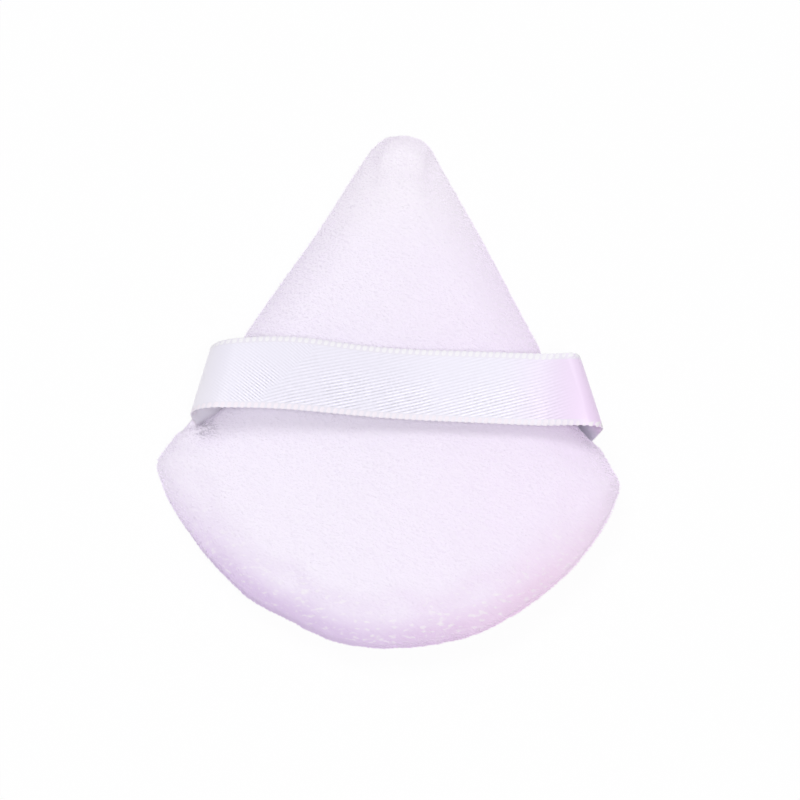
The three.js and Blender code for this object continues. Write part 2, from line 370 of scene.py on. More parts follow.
class Finish(Tree):
    """A material's tree, which ends in one Principled shader."""

    def __init__(self, name):
        self.material = bpy.data.materials.new(name)
        super().__init__(emptied(self.material))

    def place(self):
        return self.add("ShaderNodeTexCoord")["Object"]

    def marked(self, name):
        """A number that the mesh keeps at its points."""
        return self.add("ShaderNodeAttribute", attribute_name=name)["Fac"]

    def close(self, colour, shade, gloss, relief=None):
        """Ends the tree and gives its material. shade darkens the colour from place to place, gloss holds the
        shader's other values, and relief is the height, strength and depth of a bump."""
        grey = self.add("ShaderNodeCombineColor", {0: shade, 1: shade, 2: shade})[0]
        values = {"Base Color": self.mix(1.0, colour, grey, "MULTIPLY"), **gloss}
        if relief:
            height, strength, depth = relief
            bump = self.add("ShaderNodeBump", {"Height": height, "Strength": strength, "Distance": depth})
            values["Normal"] = bump["Normal"]
        shader = self.add("ShaderNodeBsdfPrincipled", values)
        self.add("ShaderNodeOutputMaterial", {"Surface": shader["BSDF"]})
        return self.material


# Over the pad: where the velour's colours change towards the base, the right and the apex. The mauve rim
# towards the base is partly painted shade, its right-hand colour is painted lighter, and the pile is painted
# lighter towards the apex
BASE_FADE = (-12 * MM, -38 * MM)
BLUSH_FADE = (-12 * MM, HALF_WIDTH)
APEX_LIGHT_FADE = (16 * MM, 32 * MM)

# Cells in a metre of the textures: mottling, painted glints of clumps and knit of the velour, drift, wander
# and patches of the satin's lines, strands of the weft loops, plies of the thread and pores of the foam
MOTTLE_SCALE = 95.0
GLINT_SCALE = (850, 1500, 1500)
KNIT_SCALE = 2600.0
DRIFT_SCALE = 160.0
WANDER_SCALE = 500.0
PATCH_SCALE = 210.0
STRAND_SCALE = 4200.0
PLY_SCALE = 900.0
FOAM_SCALE = 1400.0


def velour_colour(finish, colours):
    """Near-white lavender with soft mottling that turns mauve round the base: partly the pile's own colour
    where it opens, partly painted shade of the rolled edge, painted lighter on the right. The pile is painted
    lighter towards the apex and has painted glints of clumps round the base. Gives the colour, the place and
    the mottling."""
    edge = finish.marked("edge")
    place = finish.place()
    axes = finish.parts(place)
    towards_base = finish.ease(axes["Y"], *BASE_FADE)
    towards_right = finish.ease(axes["X"], *BLUSH_FADE)
    apex_light = finish.ease(axes["Y"], *APEX_LIGHT_FADE)
    mottle = finish.noise(place, MOTTLE_SCALE, 3.0)
    # Painted shade: the mauve deepens where the surface turns to the side, mostly round the base
    rise = edge.maths("SQRT") + 0.1 * mottle + 0.06 * towards_right
    opened = finish.ease(rise, 0.1, 0.7) * (0.06 + 0.94 * towards_base)
    flat = finish.mix(towards_right, colours.velour, colours.velour_blush)
    # Painted light: the pile lighter towards the apex
    flat = finish.mix(0.35 * apex_light, flat, colours.velour_highlight)
    # Painted light: the rim's right-hand colour is lighter
    rim = finish.mix(towards_right, colours.velour_rim_and_shade, colours.velour_rim_and_light_right)
    colour = finish.mix(opened, flat, rim)
    # Painted highlight: glints of pile clumps round the base
    glint_noise = finish.noise(finish.vector("MULTIPLY", place, GLINT_SCALE), 1.0, 1.0)
    near_rim = finish.ease(edge, 0.01, 0.08) * finish.ease(edge, 0.7, 0.3) * towards_base
    painted_glints = finish.ease(glint_noise, 0.54, 0.74) * near_rim * 0.6
    return finish.mix(painted_glints, colour, colours.velour_highlight), place, mottle


def velour_ground(colours):
    """The cloth that the pile stands on."""
    finish = Finish("velour_ground")
    colour, place, mottle = velour_colour(finish, colours)
    knit = finish.noise(place, KNIT_SCALE)
    gloss = {"Roughness": 0.95, "Specular IOR Level": 0.2, "Sheen Weight": 0.15}
    return finish.close(colour, 0.96 + 0.02 * knit + 0.03 * mottle, gloss, (knit, 0.3, 0.12 * MM))


def velour_pile(colours):
    """The tufts, a little darker at their feet as painted shade, each with a tone of its own. The loose tufts
    at the ribbon's roots are darker, as painted shade of the parted pile.
    """
    finish = Finish("velour_pile")
    colour = velour_colour(finish, colours)[0]
    height = finish.marked("tuft_height")
    tone = finish.marked("tuft_tone")
    loose = finish.marked("loose")
    # Painted shade: loose tufts at the roots darker
    colour = finish.mix(finish.ease(loose * tone, 0.15, 0.35), colour, colours.loose_tuft_shade)
    gloss = {"Roughness": 0.85, "Specular IOR Level": 0.2, "Sheen Weight": 0.15}
    # Painted shade: darker at the tufts' feet
    return finish.close(colour, 0.965 + 0.025 * height + 0.01 * tone, gloss)


# Along the ribbon from its middle: where the diagonal lines turn and fade, where the bends begin and end,
# and where the painted pink sheen of the right-hand bend comes and goes
TWILL_TURN = (-16 * MM, -14 * MM)
TWILL_FADE = (20 * MM, 29 * MM)
BEND_START = 24 * MM
BEND_END = 33 * MM
RIGHT_SHEEN_IN = (15 * MM, 34 * MM)
RIGHT_SHEEN_OUT = (40 * MM, 35 * MM)

# The satin's threads: slants of its diagonal lines on both sides of their turn, slant of the turn itself,
# where across the ribbon the lines fade, and sizes of the warp, the flecks and the selvedge's start
RISING_SLANT = 0.3
FALLING_SLANT = 0.75
TURN_SLANT = 0.95
ACROSS_FADE = (3.5 * MM, -2.5 * MM)
WARP_PITCH = 0.13 * MM
FLECK_LENGTH = 0.6 * MM
FLECK_WIDTH = 0.25 * MM
HOLLOW_FADE = 0.1 * MM


def waves(phase):
    """Waves from 0 to 1."""
    return 0.5 + 0.5 * phase.maths("SINE")


def satin_finish(colours, sizes):
    """Satin weave: long diagonal lines over fine warp threads, on the ribbon's own map in metres."""
    finish = Finish("satin")
    coordinates = finish.add("ShaderNodeTexCoord")
    place = coordinates["Object"]
    weave = finish.parts(coordinates["UV"])
    run = weave["X"]
    width = weave["Y"]
    drift = 3.0 * finish.noise(place, DRIFT_SCALE)
    wander = 2 * MM * finish.noise(place, WANDER_SCALE, 1.0)
    past_turn = finish.ease(run - TURN_SLANT * width + wander, *TWILL_TURN)
    twill_rate = 2 * math.pi / sizes.twill_pitch
    rising = waves((width - RISING_SLANT * run) * twill_rate + drift)
    falling = waves((width + FALLING_SLANT * run) * twill_rate + drift)
    twill = falling + (rising - falling) * past_turn
    warp = waves(width * (2 * math.pi / WARP_PITCH))
    patch = 0.45 + 0.55 * finish.ease(finish.noise(place, PATCH_SCALE, 1.0), 0.36, 0.6)
    floats = finish.vector("MULTIPLY", coordinates["UV"], (1 / FLECK_LENGTH, 1 / FLECK_WIDTH, 0.0))
    fleck = 0.4 + 1.2 * finish.ease(finish.noise(floats, 1.0, 1.0), 0.35, 0.65)
    reach = run.maths("ABSOLUTE")
    flat = 1 - finish.ease(reach, *TWILL_FADE)
    across_strength = 0.25 + 0.75 * finish.ease(width, *ACROSS_FADE)
    edge_start = RIBBON_WIDTH / 2 - sizes.selvedge_inset - 0.2 * sizes.loop_length
    hollow = finish.ease(width.maths("ABSOLUTE"), edge_start - HOLLOW_FADE, edge_start + HOLLOW_FADE)
    line = (twill - 0.5) * patch * fleck * flat * across_strength * (1 - hollow)
    bend = finish.ease(reach, BEND_START, BEND_END)
    # Painted sheen: the left bend is tinted lavender and the right bend pink, for the light the bent satin
    # catches
    left_bend = finish.ease(run, -BEND_START, -BEND_END)
    right_sheen = finish.ease(run, *RIGHT_SHEEN_IN) * finish.ease(run, *RIGHT_SHEEN_OUT)
    base = finish.mix(right_sheen, colours.satin, colours.satin_right_bend_sheen)
    base = finish.mix(left_bend, base, colours.satin_left_bend_sheen)
    # Painted shade: the satin under the weft loops is darker, away from the bends
    base = finish.mix(hollow * (1 - bend), base, colours.selvedge_gap_shade)
    gloss = {
        "Roughness": 0.36 + 0.12 * line,
        "Specular IOR Level": 0.4,
        "Sheen Weight": 0.4,
        "Sheen Roughness": 0.35,
        "Sheen Tint": colours.satin_left_bend_sheen,
    }
    relief = (line * 0.8 + warp * 0.12, 0.5, 0.05 * MM)
    return finish.close(base, 0.965 + 0.34 * line + 0.012 * warp, gloss, relief)


def selvedge_finish(colours):
    """Weft loops along both edges of the ribbon, pinker on the base side."""
    finish = Finish("satin_selvedge")
    place = finish.place()
    apex_side = finish.ease(finish.parts(place)["Y"], RIBBON_Y - 2 * MM, RIBBON_Y + 2 * MM)
    base = finish.mix(apex_side, colours.selvedge_pink, colours.selvedge)
    strands = finish.noise(place, STRAND_SCALE)
    gloss = {"Roughness": 0.55, "Specular IOR Level": 0.3}
    return finish.close(base, 0.94 + 0.1 * strands, gloss, (strands, 0.4, 0.05 * MM))


def thread_finish(colours):
    """Twisted sewing thread: its plies cross the thread on a slant."""
    finish = Finish("sewing_thread")
    values = {"Vector": finish.place(), "Scale": PLY_SCALE, "Distortion": 1.5}
    plies = finish.add("ShaderNodeTexWave", values, wave_type="BANDS", bands_direction="DIAGONAL")["Fac"]
    return finish.close(colours.thread, 0.85 + 0.15 * plies, {"Roughness": 0.6}, (plies, 0.6, 0.05 * MM))


def sponge_finish(colours):
    """Fine open foam, darker in its pores as painted shade."""
    finish = Finish("sponge_foam")
    cells = finish.add("ShaderNodeTexVoronoi", {"Vector": finish.place(), "Scale": FOAM_SCALE})["Distance"]
    pores = finish.ease(cells, 0.1, 0.55)
    gloss = {"Roughness": 0.95, "Specular IOR Level": 0.15}
    return finish.close(colours.sponge, 0.75 + 0.25 * pores, gloss, (pores, 0.7, 0.3 * MM))


def smooth_step(value):
    held = np.clip(value, 0.0, 1.0)
    return held * held * (3 - 2 * held)


def bell(offset, reach):
    """1 where the offset is 0, falling softly to 0 past the reach."""
    return np.exp(-((offset / reach) ** 2))


def unit(vectors):
    return vectors / np.linalg.norm(vectors, axis=-1)[..., None]


def sideways_of(normals):
    """The way that each normal points, seen from above."""
    flat = normals[:, :2]
    return flat / np.maximum(np.linalg.norm(flat, axis=1), 1e-6)[:, None]


def run_along(places):
    """How far along a line, or along each line of a grid, its places lie."""
    steps = np.linalg.norm(np.diff(places, axis=0), axis=-1)
    return np.concatenate([np.zeros_like(steps[:1]), np.cumsum(steps, axis=0)])


def new_object(name, mesh):
    found = bpy.data.objects.new(name, mesh)
    bpy.context.scene.collection.objects.link(found)
    return found


def mesh_of(name, points, faces, edges=()):
    mesh = bpy.data.meshes.new(name)
    mesh.from_pydata([tuple(p) for p in points], edges, faces)
    mesh.update()
    return mesh


def as_shown(target):
    """The object's mesh with its modifiers applied."""
    graph = bpy.context.evaluated_depsgraph_get()
    return bpy.data.meshes.new_from_object(target.evaluated_get(graph), depsgraph=graph)


def made_plain(mesh, modifiers, inputs=None):
    """The mesh after modifiers, each a type and its settings. inputs are the last one's, by identifier."""
    passing = new_object("passing", mesh)
    for kind, settings in modifiers:
        modifier = passing.modifiers.new(kind.lower(), kind)
        for name, value in settings.items():
            setattr(modifier, name, value)
    for identifier, value in (inputs or {}).items():
        modifier[identifier] = value
    passing.update_tag()
    result = as_shown(passing)
    bpy.data.objects.remove(passing)
    return result


def places_of(mesh):
    flat = np.empty(len(mesh.vertices) * 3)
    mesh.vertices.foreach_get("co", flat)
    return flat.reshape(-1, 3)


def put_places(mesh, places):
    mesh.vertices.foreach_set("co", places.ravel())
    mesh.update()


def normals_of(mesh):
    flat = np.empty(len(mesh.vertices) * 3, np.float32)
    mesh.vertex_normals.foreach_get("vector", flat)
    return flat.reshape(-1, 3).astype(float)


def mark(mesh, name, values):
    """Keeps a number or a vector at each of the mesh's points."""
    kind, key = ("FLOAT", "value") if values.ndim == 1 else ("FLOAT_VECTOR", "vector")
    kept = mesh.attributes.new(name, kind, "POINT")
    kept.data.foreach_set(key, values.astype(np.float32).ravel())


def fit(piece, body, node=None):
    """Puts a piece on the body it moves with and hides the frame's node that it stands for."""
    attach(piece, body)
    if node:
        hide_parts(node)


def press(piece, height):
    """Gives the piece a mesh of its own; it is not flattened when the face is pressed."""
    1 - PRESS_TRAVEL / height
    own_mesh(piece)


class PadPlan:
    """The pad seen from above: an apex, two straight sides, two corners and a round base."""

    def __init__(self, sizes):
        self.sizes = sizes
        rise = sizes.corner_rise
        round_off = sizes.corner_radius
        self.apex = np.array([0.0, HALF_LENGTH - sizes.apex_radius])
        self.corner = np.array([HALF_WIDTH - round_off, rise - HALF_LENGTH])
        self.base_radius = (self.corner[0] ** 2 + rise**2 - round_off**2) / (2 * (rise - round_off))
        self.base = np.array([0.0, self.base_radius - HALF_LENGTH])
        to_corner = self.corner - self.apex
        lean = math.acos((sizes.apex_radius - round_off) / np.linalg.norm(to_corner))
        self.side_angle = math.atan2(to_corner[1], to_corner[0]) + lean
        self.side_distance = self.apex[1] * math.sin(self.side_angle) + sizes.apex_radius
        to_base = self.corner - self.base
        self.corner_end = math.atan2(to_base[1], to_base[0])
        self.hub = np.array([0.0, (self.side_distance - HALF_LENGTH) / (1 + math.sin(self.side_angle))])

    def side_edge(self, y):
        """x of the right-hand edge, on its straight side."""
        return (self.side_distance - y * math.sin(self.side_angle)) / math.cos(self.side_angle)

    def arc(self, centre, radius, start, end, step):
        count = max(3, round(abs(end - start) * radius / step))
        angles = np.linspace(start, end, count + 1)
        normals = np.stack([np.cos(angles), np.sin(angles)], 1)
        return centre + radius * normals, normals

    def right_half(self, step, base_gap=0.0):
        """Points and outward normals from the apex to base_gap away from the middle of the base."""
        sizes = self.sizes
        base_end = -math.pi / 2 + base_gap / self.base_radius
        apex = self.arc(self.apex, sizes.apex_radius, math.pi / 2, self.side_angle, step)
        corner = self.arc(self.corner, sizes.corner_radius, self.side_angle, self.corner_end, step)
        base = self.arc(self.base, self.base_radius, self.corner_end, base_end, step)
        ends = apex[0][-1], corner[0][0]
        count = round(float(np.linalg.norm(ends[1] - ends[0])) / step)
        share = np.linspace(0, 1, count + 1)[1:-1, None]
        side = ends[0] + (ends[1] - ends[0]) * share
        side_normals = np.repeat(apex[1][-1:], len(side), axis=0)
        points = np.concatenate([apex[0], side, corner[0], base[0][1:]])
        normals = np.concatenate([apex[1], side_normals, corner[1], base[1][1:]])
        return points, normals

    def outline(self, step):
        flip = np.array([-1.0, 1.0])
        return [np.concatenate([half, half[-2:0:-1] * flip]) for half in self.right_half(step)]

    def inward(self, points, normals, inset, share=1.0):
        """The points drawn in by inset, then towards the hub by a share of what is left."""
        reach = np.sum((points - self.hub) * normals, axis=1)
        return self.hub + (points - self.hub) * ((1 - inset / reach) * share)[:, None]


def swept(plan, profile, step):
    """A closed mesh of rings round the outline. The profile runs from over the hub to under it."""
    points, normals = plan.outline(step)
    rings = []
    for inset, share, z in profile[1:-1]:
        ring = plan.inward(points, normals, inset, share)
        rings.append(np.column_stack([ring, np.full(len(ring), z)]))
    count = len(points)
    places = np.concatenate([*rings, [[*plan.hub, profile[0][2]], [*plan.hub, profile[-1][2]]]])
    top = len(places) - 2
    bottom = top + 1
    last = (len(rings) - 1) * count
    faces = []
    for i in range(count):
        j = (i + 1) % count
        faces.append((top, j, i))
        faces.append((bottom, last + i, last + j))
        for here in range(0, last, count):
            there = here + count
            faces.append((here + i, here + j, there + j, there + i))
    return places, faces


FLAT_RINGS = 18
ROLL_RINGS = 12


def pad_profile(sizes, inset, groove=None):
    """The pad's section, lying under its surface by inset, from the middle of the back to that of the face.
    groove is the depth and half height of a groove round the seam, or None."""
    roll = sizes.edge_roll
    height = SEAM_Z - inset
    shares = np.linspace(0, 1, FLAT_RINGS)
    back = [(roll, s, SEAM_Z + height + BACK_CROWN * (1 - s * s)) for s in shares]
    face = [(roll, s, SEAM_Z - height) for s in shares[::-1]]
    lowest = 0.0 if groove is None else math.asin(groove[1] / height)
    turns = np.linspace(math.pi / 2, lowest, ROLL_RINGS)[1:]
    upper = [(roll - (roll - inset) * math.cos(a), 1.0, SEAM_Z + height * math.sin(a)) for a in turns]
    lower = [(i, s, 2 * SEAM_Z - z) for i, s, z in upper[::-1]]
    if groove is None:
        return [*back, *upper, *lower[1:], *face]
    walls = [(groove[0], 1.0, SEAM_Z + side * groove[1]) for side in (1, -1)]
    return [*back, *upper, *walls, *lower, *face]


CLOTH_SCALE = 6  # the cloth's stiffness suits a cushion, so the pad is simulated at that size
CLOTH_FRAMES = 20
CLOTH_PRESSURE = 4.0


def swell(mesh, sizes):
    """Lets the filling push the cover out by cloth simulation, with the seam held where it is sewn."""
    before = places_of(mesh)
    held = np.abs(before[:, 2] - SEAM_Z) < sizes.voxel
    put_places(mesh, before * CLOTH_SCALE)
    scene = bpy.context.scene
    passing = new_object("passing", mesh)
    pins = passing.vertex_groups.new(name="seam")
    pins.add([int(i) for i in np.flatnonzero(held)], 1.0, "REPLACE")
    cloth = passing.modifiers.new("cloth", "CLOTH")
    cloth.settings.vertex_group_mass = "seam"
    cloth.settings.use_pressure = True
    cloth.settings.uniform_pressure_force = CLOTH_PRESSURE
    cloth.settings.effector_weights.gravity = 0.0
    cloth.collision_settings.use_collision = False
    cloth.point_cache.frame_start = 1
    cloth.point_cache.frame_end = CLOTH_FRAMES
    for number in range(1, CLOTH_FRAMES + 1):
        scene.frame_set(number)
    shaped = as_shown(passing)
    bpy.data.objects.remove(passing)
    scene.frame_set(1)
    move = places_of(shaped) / CLOTH_SCALE - before
    far = np.linalg.norm(move, axis=1)
    move *= np.minimum(1.0, sizes.swell / np.maximum(far, 1e-9))[:, None]
    put_places(shaped, before + move)
    return shaped


def brought_to_size(mesh, sizes):
    """Smoothing draws the pad in, so its width and length beside the seam and its height go back to what the
    frame gives, with its shoulders filled out."""
    places = places_of(mesh)
    beside = places[np.abs(places[:, 2] - SEAM_Z) > sizes.seam_reach]
    for axis, half in ((0, HALF_WIDTH), (1, HALF_LENGTH)):
        low = beside[:, axis].min()
        high = beside[:, axis].max()
        wanted = 2 * (half - sizes.ground_depth)
        places[:, axis] = (places[:, axis] - (low + high) / 2) * (wanted / (high - low))
    rise = places[:, 2] - SEAM_Z
    reached = np.where(rise > 0, rise.max(), -rise.min())
    height = np.where(rise > 0, BACK_HIGH.z - SEAM_Z, SEAM_Z) - sizes.ground_depth
    places[:, 2] = SEAM_Z + np.sign(rise) * height * (np.abs(rise) / reached) ** sizes.fullness
    put_places(mesh, places)


# Where the pad departs from an even shape: x (None for all), y, reach and move, in millimetres
NUDGES = (
    (0, 42, 5, (0.4, -0.5)),
    (-34, -15, 7, (-0.3, 0.5)),
    (-28, -26, 8, (0.8, 0.5)),
    (-25, -33, 5, (0.35, 0.35)),
    (-15, -38, 7, (0.4, 0.95)),
    (8, -41, 6, (0.0, 0.3)),
    (24, -31, 9, (-0.3, 0.3)),
    (None, -41, 16, (0.0, -0.2)),
    (-14, 24, 9, (0.4, 0.0)),
    (24, 8, 12, (-0.7, 0.0)),
)


def nudged(places):
    """The places moved sideways where the pad departs from an even shape."""
    moved = places.copy()
    for x, y, reach, move in NUDGES:
        across = 0.0 if x is None else places[:, 0] / MM - x
        near = np.exp(-(across**2 + (places[:, 1] / MM - y) ** 2) / reach**2)
        moved[:, :2] += near[:, None] * np.array(move) * MM
    return moved


# The dent near the apex: how it slants, the middle and half of its length in millimetres, and the share and
# place of the low ridge beside it, the place in reaches of the dent
DENT_SLANT = 0.12
DENT_MIDDLE = 2
DENT_HALF = 6
RIDGE_SHARE = 0.4
RIDGE_PLACE = 1.5

# Waves in a metre of the back's unevenness and of the seam's puckers
RIPPLE_SCALE = 75.0
PUCKER_SCALE = 420.0


def shape_by_hand(mesh, sizes):
    """The dent across the back near the apex, the gentle unevenness of the velour and the uneven outline.
    The face stays flat."""
    places = places_of(mesh)
    normals = normals_of(mesh)
    past_dent = HALF_LENGTH - places[:, 1] - sizes.dent_place
    dent = bell(past_dent - DENT_SLANT * places[:, 0], sizes.dent_reach)
    ridge = bell(past_dent - RIDGE_PLACE * sizes.dent_reach, sizes.dent_reach)
    inside = bell(places[:, 0] / MM - DENT_MIDDLE, DENT_HALF)
    on_back = smooth_step((normals[:, 2] - 0.3) / 0.5)
    wave = np.array([noise.noise(Vector(p) * RIPPLE_SCALE) for p in places])
    lift = on_back * (sizes.dent_depth * inside * (RIDGE_SHARE * ridge - dent) + sizes.ripple * wave)
    places = nudged(places + normals * lift[:, None])
    places[:, 2] = np.maximum(places[:, 2], sizes.ground_depth)
    put_places(mesh, places)


def soft_pad(plan, sizes):
    """The skin of the whole pad: remeshed, swollen by its filling, smoothed and shaped."""
    places, faces = swept(plan, pad_profile(sizes, sizes.ground_depth), sizes.voxel)
    even = ("REMESH", {"mode": "VOXEL", "voxel_size": sizes.voxel, "use_smooth_shade": True})
    pad = made_plain(mesh_of("pad_form", places, faces), [even])
    pad = swell(pad, sizes)
    finer = ("SUBSURF", {"levels": 1, "render_levels": 1})
    softer = ("SMOOTH", {"factor": 0.5, "iterations": 10})
    pad = made_plain(pad, [finer, softer])
    brought_to_size(pad, sizes)
    shape_by_hand(pad, sizes)
    return pad


# The pinch at a root: how much farther it reaches towards the apex, and how full it is along the root
APEX_EASE = 2.2
PINCH_POWER = 4


def by_ribbon(y, sizes):
    """1 where the ribbon leaves the seam, falling to 0 past its edges, more slowly towards the apex."""
    beyond = np.abs(y - RIBBON_Y) - RIBBON_WIDTH / 2
    reach = sizes.pinch_length * np.where(y > RIBBON_Y, APEX_EASE, 1.0)
    return 1 - smooth_step(beyond / reach)


def pinch_at(places, sizes):
    """How far the ribbon's roots draw the pad in at these places, along x."""
    x, y, z = places.T
    share = np.clip((y - RIBBON_Y) / (RIBBON_WIDTH / 2), -1, 1)
    middle = np.where(x < 0, sizes.left_pinch, sizes.right_pinch)
    left_end = np.where(share < 0, sizes.left_base_pinch, sizes.left_apex_pinch)
    end = np.where(x < 0, left_end, sizes.right_edge_pinch)
    reach = np.where(z < SEAM_Z, sizes.pinch_drop, sizes.pinch_height)
    level = 1 - smooth_step(np.abs(z - SEAM_Z) / reach)
    return level * by_ribbon(y, sizes) * (end + (middle - end) * (1 - share**PINCH_POWER))


def pinched(places, normals, sizes):
    """The places drawn in at the ribbon's roots, where the surface faces sideways."""
    sideways = smooth_step(np.linalg.norm(normals[:, :2], axis=1))
    drawn = places.copy()
    drawn[:, 0] -= np.sign(places[:, 0]) * sideways * pinch_at(places, sizes)
    return drawn


# Where rows of points are added beside the seam, as shares of the seam's reach
SEAM_ROWS = (0.0, 0.18, 0.42, 0.75)


def cover_skin(name, mesh, sizes, side):
    """One half of the pad's skin, drawn in along the seam. side is 1 for the back and -1 for the face."""
    half = bmesh.new()
    half.from_mesh(mesh)
    up = Vector((0, 0, side))
    for share in SEAM_ROWS:
        level = Vector((0, 0, SEAM_Z + side * share * sizes.seam_reach))
        everything = [*half.verts, *half.edges, *half.faces]
        bmesh.ops.bisect_plane(
            half, geom=everything, dist=1e-6, plane_co=level, plane_no=up, clear_inner=share == 0.0
        )
    skin = bpy.data.meshes.new(name)
    half.to_mesh(skin)
    half.free()
    places = places_of(skin)
    normals = normals_of(skin)
    over_seam = np.abs(places[:, 2] - SEAM_Z) / sizes.seam_reach
    wave = np.array([noise.noise(Vector((x, y, 0)) * PUCKER_SCALE) for x, y, _ in places])
    depth = (1 - smooth_step(over_seam)) * (1 + sizes.seam_pucker * wave) * sizes.seam_depth
    shaped = pinched(places, normals, sizes)
    shaped[:, :2] -= sideways_of(normals) * depth[:, None]
    opened = by_ribbon(places[:, 1], sizes) * np.clip(1 - over_seam, 0, 1)
    shaped[:, 2] += side * sizes.ribbon_slit * opened
    put_places(skin, shaped)
    return skin


# Loose pile at the base ends of the roots: how loose it is on the right (1) and the left (-1), and where its
# middle lies from the root's end, outwards, towards the apex and upwards, in reaches of the fray
FRAY_STRENGTH = {1: 0.4, -1: 1.0}
FRAY_OUT, FRAY_ALONG, FRAY_UP = -0.5, -0.9, 2.3


def loosened(places, plan, sizes):
    """1 at the base ends of the ribbon's roots, where the seam parts the pile, and 0 away from them."""
    found = np.zeros(len(places))
    y = RIBBON_Y - RIBBON_WIDTH / 2
    for hand, strength in FRAY_STRENGTH.items():
        end = np.array([[hand * plan.side_edge(y), y, SEAM_Z]])
        end[0, 0] -= hand * pinch_at(end, sizes)[0]
        end += sizes.fray_reach * np.array([FRAY_OUT * hand, FRAY_ALONG, FRAY_UP])
        nearest = places[np.argmin(np.linalg.norm(places - end, axis=1))]
        away = np.linalg.norm(places - nearest, axis=1)
        found = np.maximum(found, strength * bell(away, sizes.fray_reach))
    return found


def mark_surface(mesh, plan, sizes):
    """Writes how far each point faces sideways, how loose its pile is, and its place on a map that spreads
    the rolled edge out."""
    places = places_of(mesh)
    normals = normals_of(mesh)
    upright = np.clip(np.abs(normals[:, 2]), 0, 1)
    turn = np.arcsin(upright)
    spread = sizes.edge_roll * ((math.pi / 2 - turn) - np.cos(turn))
    disc = places[:, :2] + sideways_of(normals) * spread[:, None]
    room = HALF_LENGTH + sizes.edge_roll
    mark(mesh, "edge", 1 - upright)
    mark(mesh, "loose", loosened(places, plan, sizes))
    mark(mesh, "disc", np.column_stack([0.5 + disc / (2 * room), np.zeros(len(disc))]))


def turned_in(skin, plan, sizes):
    """Adds the seam allowance, which runs from the skin's open edge into the pad."""
    rim = [e for e in skin.edges if e.is_boundary]
    made = bmesh.ops.extrude_edge_only(skin, edges=rim)["geom"]
    hub = Vector((*plan.hub, 0))
    for vertex in (v for v in made if isinstance(v, bmesh.types.BMVert)):
        towards = hub - vertex.co
        towards.z = 0
        vertex.co += towards.normalized() * sizes.seam_allowance
    bmesh.ops.recalc_face_normals(skin, faces=skin.faces)


def cover(name, skin, plan, sizes, side):
    """A velour panel: its skin, its turned-in allowance and the thickness of the cloth."""
    panel = bmesh.new()
    panel.from_mesh(skin)
    turned_in(panel, plan, sizes)
    mesh = bpy.data.meshes.new(name)
    panel.to_mesh(mesh)
    panel.free()
    outermost = int(np.argmax(side * places_of(mesh)[:, 2]))
    if side * normals_of(mesh)[outermost][2] < 0:
        mesh.flip_normals()
    wall = ("SOLIDIFY", {"thickness": sizes.cloth_thickness, "offset": -1.0})
    shown = made_plain(mesh, [wall])
    shown.shade_smooth()
    return new_object(name, shown)


class PUFF_OT_covers(Operator):
    """Makes the two velour panels, swollen over their sponge and sewn together round the edge"""

    bl_idname = "puff.covers"
    bl_label = "Covers"

    def execute(self, context):
        sizes = context.scene.puff_pad
        plan = PadPlan(sizes)
        pad = soft_pad(plan, sizes)
        ground = velour_ground(context.scene.puff_colours)
        for side, word, body in COVERS:
            skin = cover_skin(f"{word}_skin", pad, sizes, side)
            mark_surface(skin, plan, sizes)
            panel = cover(f"{word}_cover_velour", skin, plan, sizes, side)
            panel.data.materials.append(ground)
            fit(panel, body, f"{word}_cover")
            if body == "face":
                press(panel, SEAM_Z)
        return {"FINISHED"}


def node_group(name, **inputs):
    """A Geometry Nodes tree with a geometry input and output, and inputs named under their socket's type."""
    group = bpy.data.node_groups.new(name, "GeometryNodeTree")
    group.interface.new_socket("Geometry", in_out="INPUT", socket_type="NodeSocketGeometry")
    for kind, labels in inputs.items():
        for label in labels:
            group.interface.new_socket(label, in_out="INPUT", socket_type="NodeSocket" + kind)
    group.interface.new_socket("Geometry", in_out="OUTPUT", socket_type="NodeSocketGeometry")
    tree = Tree(group)
    return group, tree, tree.add("NodeGroupInput")


def grown(mesh, group, values):
    """The plain mesh that a tree makes of this one."""
    sockets = [item for item in group.interface.items_tree if item.in_out == "INPUT" and item.name in values]
    inputs = {item.identifier: values[item.name] for item in sockets}
    return made_plain(mesh, [("NODES", {"node_group": group})], inputs)


def stored(tree, name, kind):
    """What the mesh keeps under a name."""
    return tree.add("GeometryNodeInputNamedAttribute", {"Name": name}, data_type=kind)[0]


def store(tree, geometry, name, kind, value, domain="POINT"):
    values = {"Geometry": geometry, "Name": name, "Value": value}
    return tree.add("GeometryNodeStoreNamedAttribute", values, data_type=kind, domain=domain)[0]


def chance(tree, low, high, seed):
    return tree.add("FunctionNodeRandomValue", {2: low, 3: high, "Seed": seed}, data_type="FLOAT")[1]


# The tufts: the shortest as a share of the longest, how much more the loose ones scatter and how much thicker
# they are, the seed of their tones, and their size on the map for baking
SHORTEST = 0.55
LOOSE_SCATTER = 5
LOOSE_WIDTH = 0.5
TONE_SEED = 31
TUFT_SPOT = 0.0012


def tuft_way(tree, given, normal, loose):
    """The way that each tuft points: up from the cloth, leaning with the nap, its drift and a scatter."""
    place = tree.add("GeometryNodeInputPosition")[0]
    swirl = tree.add("ShaderNodeTexNoise", {"Vector": place, "Scale": given["Drift scale"], "Detail": 1.0})
    swirl = tree.vector("SUBTRACT", swirl["Color"], (0.5, 0.5, 0.5))
    swirl = tree.scaled(tree.vector("MULTIPLY", swirl, (4.0, 4.0, 0.0)), given["Drift"])
    limits = {0: (-1, -1, -0.4), 1: (1, 1, 0.4), "Seed": given["Seed"]}
    jitter = tree.add("FunctionNodeRandomValue", limits, data_type="FLOAT_VECTOR")[0]
    jitter = tree.scaled(jitter, given["Scatter"] * (1 + LOOSE_SCATTER * loose))
    lean = tree.vector("ADD", tree.vector("ADD", given["Nap"], swirl), jitter)
    lean = tree.vector("SUBTRACT", lean, tree.vector("PROJECT", lean, normal))
    return tree.vector("ADD", normal, lean)


